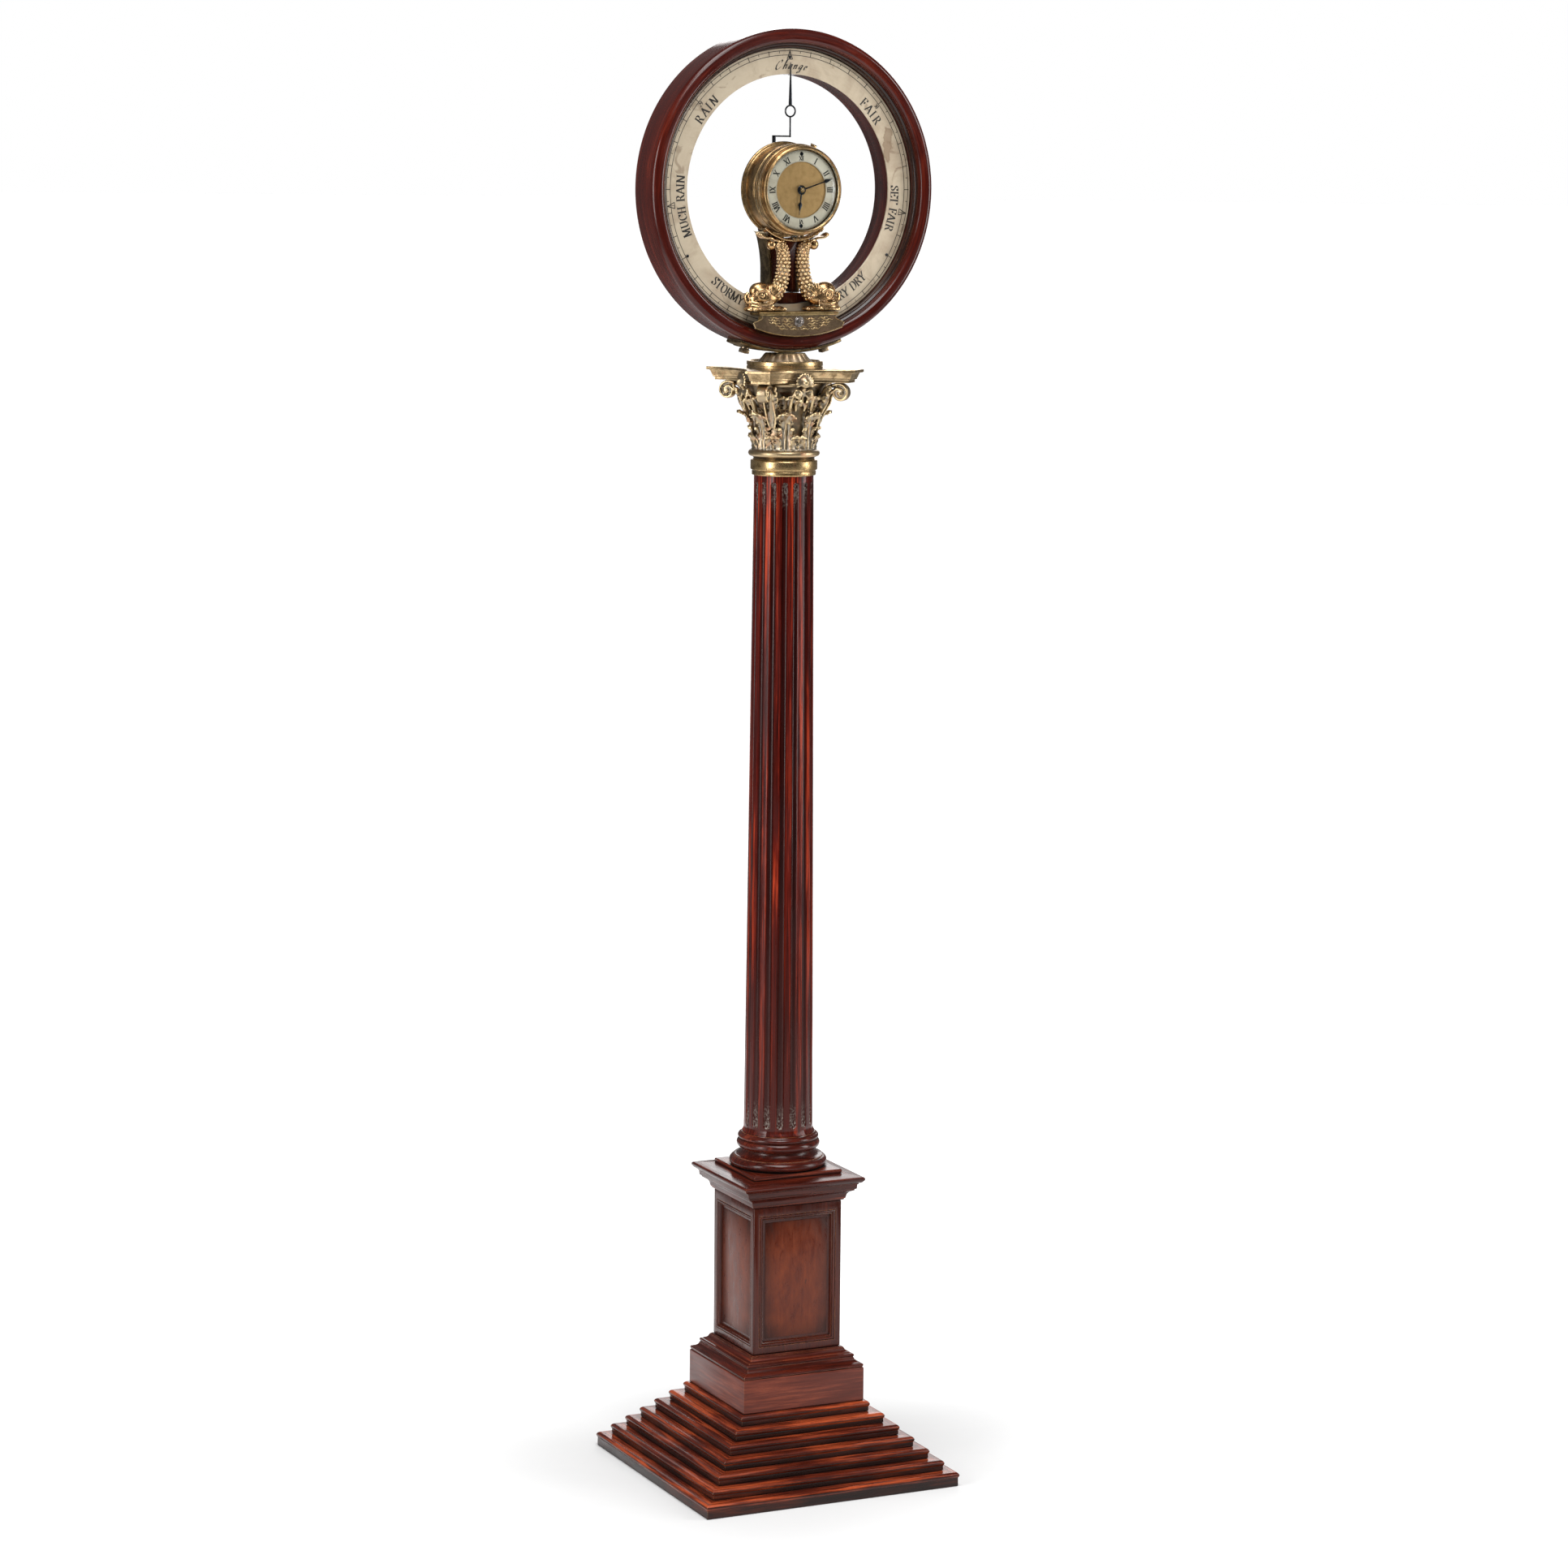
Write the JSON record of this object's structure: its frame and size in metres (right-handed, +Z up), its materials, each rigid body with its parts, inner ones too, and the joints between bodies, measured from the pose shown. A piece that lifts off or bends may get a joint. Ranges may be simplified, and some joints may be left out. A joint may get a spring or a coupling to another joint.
{
  "type": "column barometer clock",
  "caption": "Free-standing mahogany and brass column barometer: stepped pedestal, fluted column, open weather dial ring on a swivel, with a small drum clock held inside it.",
  "frame": {"origin": "bottom centre of the square base, on the floor", "axes": "+Z up along the column, -Y towards the dials; the head stands turned 3 degrees about +Z at rest"},
  "size_m": [0.3132, 0.28, 1.4521],
  "materials": {
    "mahogany": "french polished",
    "mahogany_panel": "french polished",
    "brass": "aged lacquered",
    "matted_brass": "matted",
    "cast_brass": "cast, aged",
    "gilt": "gilded, worn",
    "silvered": "silvered and engraved",
    "blued_steel": "blued",
    "steel": "worn",
    "glass": "clear"
  },
  "bodies": {
    "stand": {"base_step_1": "mahogany", "base_step_2": "mahogany", "base_step_3": "mahogany", "base_step_4": "mahogany", "base_step_5": "mahogany", "base_step_6": "mahogany", "base_step_7": "mahogany", "plinth_block": "mahogany", "plinth_moulding": "mahogany", "pedestal_case": "mahogany", "pedestal_panel_front": "mahogany_panel", "pedestal_panel_right": "mahogany_panel", "pedestal_panel_rear": "mahogany_panel", "pedestal_panel_left": "mahogany_panel", "pedestal_cornice": "mahogany", "column_plinth": "mahogany", "column_base": "mahogany", "column_shaft": "mahogany", "neck_collar": "brass", "capital": "cast_brass", "abacus": "brass", "swivel_collar": "brass", "mercury_tube": "glass"},
    "head": {"head_socle": "cast_brass", "saddle_strap": "brass", "strap_bolt_left": "steel", "strap_bolt_right": "steel", "ring_rim": "mahogany", "weather_dial": "silvered", "trunk_base": "mahogany", "trunk_core": "mahogany", "trunk_side_left": "brass", "trunk_side_right": "brass", "arbor_cock": "brass", "thumb_screw": "steel", "clock_platform": "brass", "apron_plate": "brass", "apron_screw": "steel", "dolphin_left": "gilt", "dolphin_right": "gilt", "drum_cradle": "gilt", "drum_case": "brass", "drum_back_cover": "brass", "bezel_hinge_pin": "steel", "movement_back_plate": "brass", "movement_front_plate": "brass", "mainspring_barrel": "brass", "clock_dial": "matted_brass", "chapter_ring": "silvered"},
    "bezel": {"bezel": "brass", "bezel_glass": "glass"},
    "minute_hand": {"minute_hand": "blued_steel", "hand_collet": "brass", "cannon_pinion": "steel"},
    "hour_hand": {"hour_hand": "blued_steel", "hour_wheel": "brass"},
    "minute_wheel": {"minute_wheel": "brass"},
    "weather_hand": {"weather_hand": "blued_steel", "weather_pulley": "brass"},
    "float": {"float_weight": "glass"}
  },
  "joints": [
    {"name": "head_swivel", "type": "hinge", "parent": "stand", "child": "head", "pos_m": [0, 0, 1.12], "axis": [0, 0, 1], "range_deg": [-90, 90]},
    {"name": "bezel_hinge", "type": "hinge", "parent": "head", "child": "bezel", "pos_m": [0.00126, -0.02397, 1.2485], "axis": [0.9986, 0.0523, 0], "range_deg": [0, 90]},
    {"name": "minute_spin", "type": "hinge", "parent": "head", "child": "minute_hand", "pos_m": [0, 0, 1.2961], "axis": [0.0523, -0.9986, 0], "continuous": true},
    {"name": "hour_spin", "type": "hinge", "parent": "head", "child": "hour_hand", "pos_m": [0, 0, 1.2961], "axis": [0.0523, -0.9986, 0], "continuous": true},
    {"name": "minute_wheel_spin", "type": "hinge", "parent": "head", "child": "minute_wheel", "pos_m": [0.00105, -0.01997, 1.3081], "axis": [0.0523, -0.9986, 0], "continuous": true},
    {"name": "weather_spin", "type": "hinge", "parent": "head", "child": "weather_hand", "pos_m": [0, 0, 1.2961], "axis": [0.0523, -0.9986, 0], "range_deg": [-140, 140]},
    {"name": "float_slide", "type": "slide", "parent": "stand", "child": "float", "axis": [0, 0, 1], "range_m": [-0.018, 0.018]}
  ],
  "couplings": [
    {"joint": "hour_spin", "follows": "minute_spin", "ratio": 0.083333},
    {"joint": "minute_wheel_spin", "follows": "minute_spin", "ratio": -0.33333},
    {"joint": "float_slide", "follows": "weather_spin", "m_per_rad": 0.00728}
  ]
}
